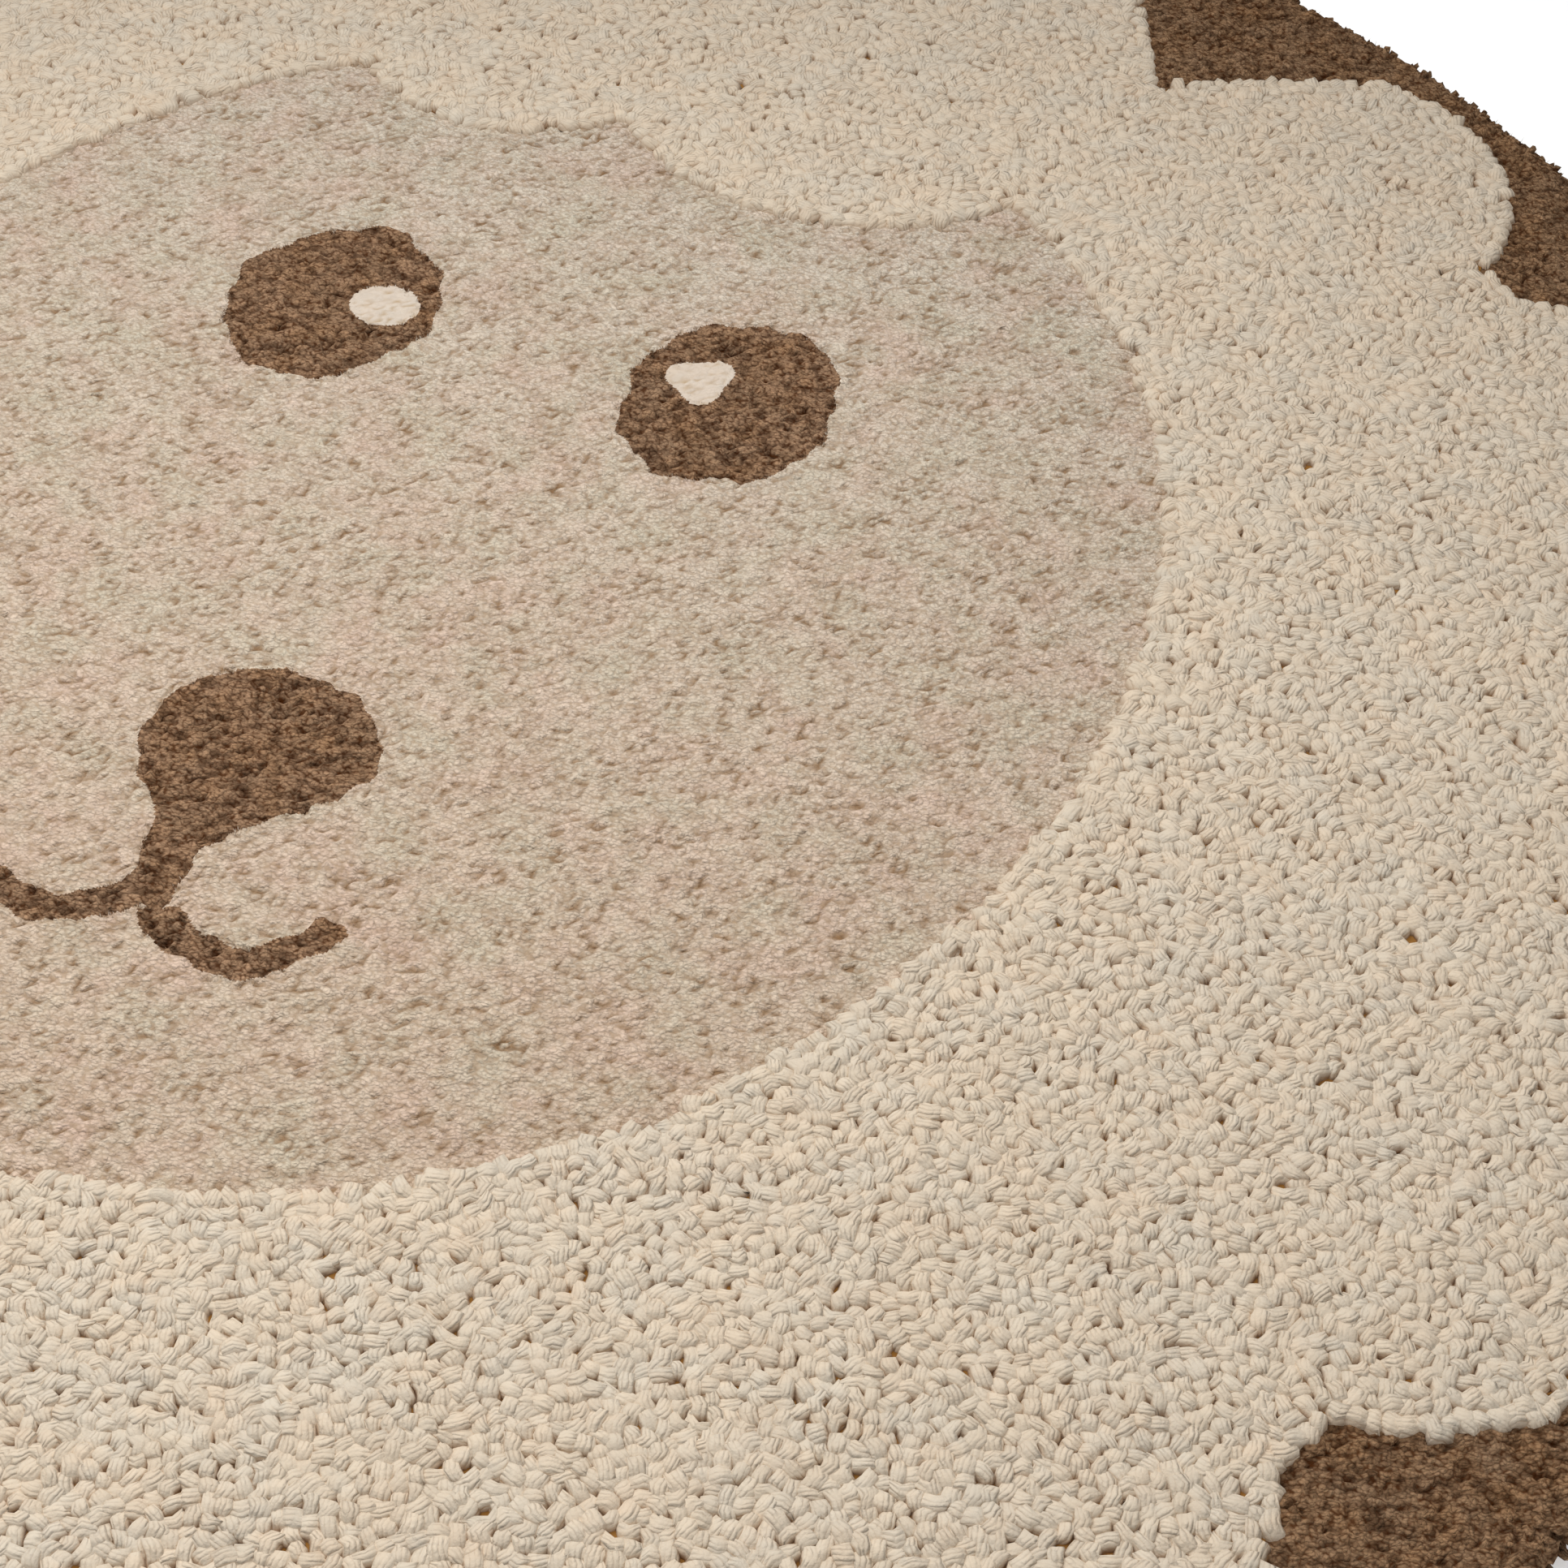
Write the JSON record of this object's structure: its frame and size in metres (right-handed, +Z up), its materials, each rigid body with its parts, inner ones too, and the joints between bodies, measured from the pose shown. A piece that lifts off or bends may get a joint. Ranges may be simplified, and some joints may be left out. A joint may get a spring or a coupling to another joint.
{
  "type": "round tufted kids rug with a lion face",
  "caption": "Round tufted floor rug for a child's room: a lion's face in cut pile, ringed by a scalloped mane in higher loop pile, on a brown ground.",
  "frame": {"origin": "middle of the round underside, on the floor", "axes": "+Z up out of the pile, +Y towards the top of the lion's head, +X to the right of the face as it is seen from above"},
  "size_m": [0.9998, 0.9998, 0.0145],
  "materials": {
    "mane_loops": "cream yarn in loop pile, a few soft strands to a loop",
    "face_pile": "beige yarn in short cut pile",
    "brown_pile": "brown yarn in short cut pile",
    "glint_pile": "off-white yarn in short cut pile",
    "backing": "plain woven backing cloth"
  },
  "bodies": {
    "root": {"rug": "mane_loops"}
  },
  "joints": []
}
